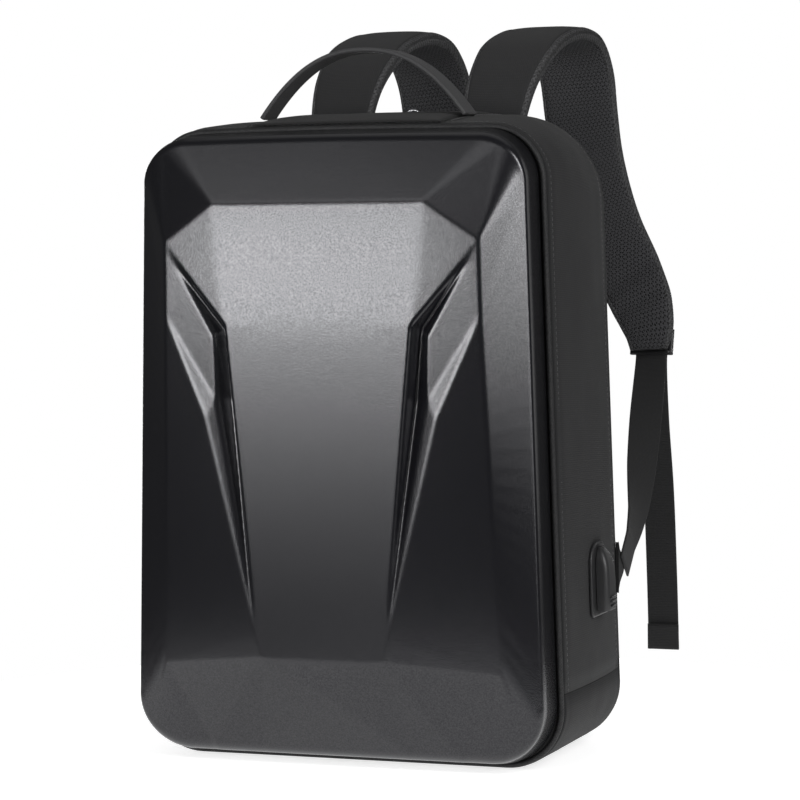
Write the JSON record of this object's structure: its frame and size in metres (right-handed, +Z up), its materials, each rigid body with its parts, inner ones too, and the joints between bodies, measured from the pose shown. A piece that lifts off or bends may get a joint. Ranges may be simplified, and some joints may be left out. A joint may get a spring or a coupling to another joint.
{
  "type": "hard shell backpack",
  "caption": "Backpack with a faceted moulded front shell, a rectangular fabric body, an arched grab handle, a side charging port, a padded back and padded shoulder straps with webbing",
  "frame": {"origin": "centre of the flat underside that the bag stands on", "axes": "+Z up the bag, -Y out of the front shell, +Y out of the padded back, +X towards the side with the charging port"},
  "size_m": [0.3412, 0.3905, 0.539],
  "materials": {
    "shell": "satin charcoal with a fine moulded grain",
    "zip_tape": "black woven zip tape",
    "piping": "coated twill over a cord",
    "body_fabric": "dense charcoal polyester weave",
    "trim_fabric": "fine charcoal weave with stitched seams",
    "handle_fabric": "smooth coated band with sewn edges",
    "air_mesh": "black spacer mesh",
    "strap_fabric": "charcoal weave over foam, mesh underneath",
    "webbing": "ribbed charcoal webbing",
    "moulded_plastic": "black moulded plastic",
    "port_rubber": "soft black moulded rubber",
    "slider_metal": "bright plated zip slider"
  },
  "bodies": {
    "root": {"front_shell": "shell", "zip_band": "zip_tape", "front_piping": "piping", "body_walls": "body_fabric", "base_panel": "body_fabric", "top_panel": "trim_fabric", "grab_handle": "handle_fabric", "back_plate": "body_fabric", "back_pad": "air_mesh", "shoulder_strap_right": "strap_fabric", "shoulder_strap_left": "strap_fabric", "slide_lock_right": "moulded_plastic", "slide_lock_left": "moulded_plastic", "lower_webbing_right": "webbing", "lower_webbing_left": "webbing", "webbing_tail_right": "webbing", "webbing_tail_left": "webbing", "tail_hem_right": "webbing", "tail_hem_left": "webbing", "webbing_anchor_right": "trim_fabric", "webbing_anchor_left": "trim_fabric", "port_flange": "port_rubber", "port_hood": "port_rubber", "port_rib_1": "port_rubber", "port_rib_2": "port_rubber", "port_rib_3": "port_rubber", "zip_slider": "slider_metal"}
  },
  "joints": []
}
